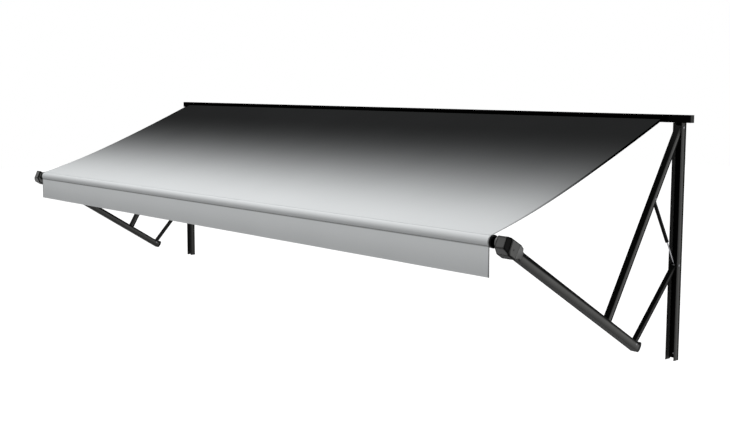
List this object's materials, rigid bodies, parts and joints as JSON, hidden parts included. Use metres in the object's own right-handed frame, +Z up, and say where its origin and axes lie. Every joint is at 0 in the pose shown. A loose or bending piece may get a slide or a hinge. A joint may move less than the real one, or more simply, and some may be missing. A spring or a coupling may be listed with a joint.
{
  "type": "canvas awning",
  "caption": "Wall-mounted patio awning: fabric canopy from a wall rail to a roller carried by two folding side arms with gas struts.",
  "frame": {"origin": "middle of the back face of the awning rail, on the wall plane", "axes": "+X along the wall, to the right seen from in front; +Y into the wall; +Z up"},
  "size_m": [6.89, 1.9428, 1.8093],
  "materials": {
    "rail_paint": "satin black coat on an extrusion",
    "bracket_paint": "satin black coat",
    "arm_paint": "satin black coat",
    "head_paint": "satin black coat on a casting",
    "head_plastic": "fine moulded grain",
    "strut_paint": "smooth black",
    "black_plastic": "moulded black plastic",
    "zinc_steel": "dull plated steel",
    "plain_steel": "turned steel",
    "bright_rod": "polished",
    "mill_aluminium": "mill finish, hidden by the fabric",
    "dark_fabric": "black coated fabric",
    "canopy_fabric": "coated fabric that fades from black at the rail to pale grey at the roller",
    "pale_fabric": "coated fabric, pale cool grey"
  },
  "bodies": {
    "root": {"awning_rail": "rail_paint", "fabric_bead": "dark_fabric", "canopy": "canopy_fabric", "left_rail_cap": "black_plastic", "right_rail_cap": "black_plastic", "left_wall_bracket": "bracket_paint", "left_wall_screw_upper": "zinc_steel", "left_wall_screw_lower": "zinc_steel", "left_top_pivot_bolt": "zinc_steel", "left_top_pivot_sleeve": "plain_steel", "left_low_pivot_screw_outer": "zinc_steel", "left_low_pivot_screw_inner": "zinc_steel", "right_wall_bracket": "bracket_paint", "right_wall_screw_upper": "zinc_steel", "right_wall_screw_lower": "zinc_steel", "right_top_pivot_bolt": "zinc_steel", "right_top_pivot_sleeve": "plain_steel", "right_low_pivot_screw_outer": "zinc_steel", "right_low_pivot_screw_inner": "zinc_steel"},
    "right_long_arm_body": {"right_long_arm": "arm_paint", "right_strut_top_pin": "plain_steel"},
    "right_shoe_body": {"right_arm_shoe": "black_plastic", "right_upper_knee_pin": "plain_steel"},
    "right_outer_arm_body": {"right_outer_arm": "arm_paint", "right_lower_knee_pin": "zinc_steel", "right_arm_end_cap": "black_plastic", "right_head_housing": "head_paint", "right_head_cover": "head_plastic", "right_head_screw": "head_paint", "drive_motor": "zinc_steel"},
    "right_short_arm_body": {"right_short_arm": "arm_paint"},
    "right_strut_body": {"right_strut_cylinder": "strut_paint"},
    "right_rod_body": {"right_strut_rod": "bright_rod", "right_strut_low_pin": "plain_steel"},
    "left_long_arm_body": {"left_long_arm": "arm_paint", "left_strut_top_pin": "plain_steel"},
    "left_shoe_body": {"left_arm_shoe": "black_plastic", "left_upper_knee_pin": "plain_steel"},
    "left_outer_arm_body": {"left_outer_arm": "arm_paint", "left_lower_knee_pin": "zinc_steel", "left_arm_end_cap": "black_plastic", "left_head_housing": "head_paint", "left_head_cover": "head_plastic", "left_head_screw": "head_paint", "idler_axle": "plain_steel"},
    "left_short_arm_body": {"left_short_arm": "arm_paint"},
    "left_strut_body": {"left_strut_cylinder": "strut_paint"},
    "left_rod_body": {"left_strut_rod": "bright_rod", "left_strut_low_pin": "plain_steel"},
    "roller_body": {"roller_tube_back": "mill_aluminium", "roller_tube_top": "mill_aluminium", "roller_tube_front": "mill_aluminium", "roller_tube_bottom": "mill_aluminium", "fabric_turns": "pale_fabric", "left_roller_plug": "black_plastic", "right_roller_plug": "black_plastic", "drive_crown": "black_plastic"},
    "valance_body": {"valance": "pale_fabric", "valance_hem_bar": "pale_fabric"}
  },
  "joints": [
    {"name": "right_arm_fold", "type": "hinge", "parent": "root", "child": "right_long_arm_body", "pos_m": [3.345, -0.037, -0.0623], "axis": [1, 0, 0], "range_deg": [0, 27.77], "deforming": ["canopy"]},
    {"name": "right_shoe_turn", "type": "hinge", "parent": "right_long_arm_body", "child": "right_shoe_body", "pos_m": [3.345, -0.83411, -1.40212], "axis": [1, 0, 0], "range_deg": [-86.2, 0]},
    {"name": "right_shoe_slide", "type": "slide", "parent": "right_shoe_body", "child": "right_outer_arm_body", "axis": [0, -0.8514, 0.5244], "range_m": [0, 0.2232]},
    {"name": "right_short_arm_turn", "type": "hinge", "parent": "right_outer_arm_body", "child": "right_short_arm_body", "pos_m": [3.345, -0.51124, -1.58689], "axis": [1, 0, 0], "range_deg": [0, 95.3]},
    {"name": "right_strut_turn", "type": "hinge", "parent": "right_long_arm_body", "child": "right_strut_body", "pos_m": [3.345, -0.32342, -0.56329], "axis": [1, 0, 0], "range_deg": [-54.7, 0]},
    {"name": "right_strut_stroke", "type": "slide", "parent": "right_strut_body", "child": "right_rod_body", "axis": [0, -0.4926, 0.8703], "range_m": [0, 0.1508]},
    {"name": "left_arm_fold", "type": "hinge", "parent": "root", "child": "left_long_arm_body", "pos_m": [-3.345, -0.037, -0.0623], "axis": [1, 0, 0], "range_deg": [0, 27.78]},
    {"name": "left_shoe_turn", "type": "hinge", "parent": "left_long_arm_body", "child": "left_shoe_body", "pos_m": [-3.345, -0.83411, -1.40212], "axis": [1, 0, 0], "range_deg": [-86.2, 0]},
    {"name": "left_shoe_slide", "type": "slide", "parent": "left_shoe_body", "child": "left_outer_arm_body", "axis": [0, -0.8514, 0.5244], "range_m": [0, 0.2232]},
    {"name": "left_short_arm_turn", "type": "hinge", "parent": "left_outer_arm_body", "child": "left_short_arm_body", "pos_m": [-3.345, -0.51124, -1.58689], "axis": [1, 0, 0], "range_deg": [0, 95.3]},
    {"name": "left_strut_turn", "type": "hinge", "parent": "left_long_arm_body", "child": "left_strut_body", "pos_m": [-3.345, -0.32342, -0.56329], "axis": [1, 0, 0], "range_deg": [-54.7, 0]},
    {"name": "left_strut_stroke", "type": "slide", "parent": "left_strut_body", "child": "left_rod_body", "axis": [0, -0.4926, 0.8703], "range_m": [0, 0.1508]},
    {"name": "roller_turn", "type": "hinge", "parent": "right_outer_arm_body", "child": "roller_body", "pos_m": [0, -1.88052, -0.7423], "axis": [1, 0, 0], "range_deg": [0, 2579]},
    {"name": "valance_hang", "type": "hinge", "parent": "right_outer_arm_body", "child": "valance_body", "pos_m": [0, -1.88052, -0.7423], "axis": [1, 0, 0], "range_deg": [0, 58.4]}
  ],
  "couplings": [
    {"joint": "right_shoe_turn", "follows": "right_arm_fold", "ratio": -3.1017},
    {"joint": "right_shoe_slide", "follows": "right_arm_fold", "m_per_rad": 0.46028},
    {"joint": "right_short_arm_turn", "follows": "right_arm_fold", "ratio": 3.4289},
    {"joint": "right_strut_turn", "follows": "right_arm_fold", "ratio": -1.9669},
    {"joint": "right_strut_stroke", "follows": "right_arm_fold", "m_per_rad": 0.31096},
    {"joint": "left_arm_fold", "follows": "right_arm_fold", "ratio": 1},
    {"joint": "left_shoe_turn", "follows": "right_arm_fold", "ratio": -3.1017},
    {"joint": "left_shoe_slide", "follows": "right_arm_fold", "m_per_rad": 0.46028},
    {"joint": "left_short_arm_turn", "follows": "right_arm_fold", "ratio": 3.4289},
    {"joint": "left_strut_turn", "follows": "right_arm_fold", "ratio": -1.9669},
    {"joint": "left_strut_stroke", "follows": "right_arm_fold", "m_per_rad": 0.31096},
    {"joint": "roller_turn", "follows": "right_arm_fold", "ratio": 92.841},
    {"joint": "valance_hang", "follows": "right_arm_fold", "ratio": 2.1017}
  ]
}
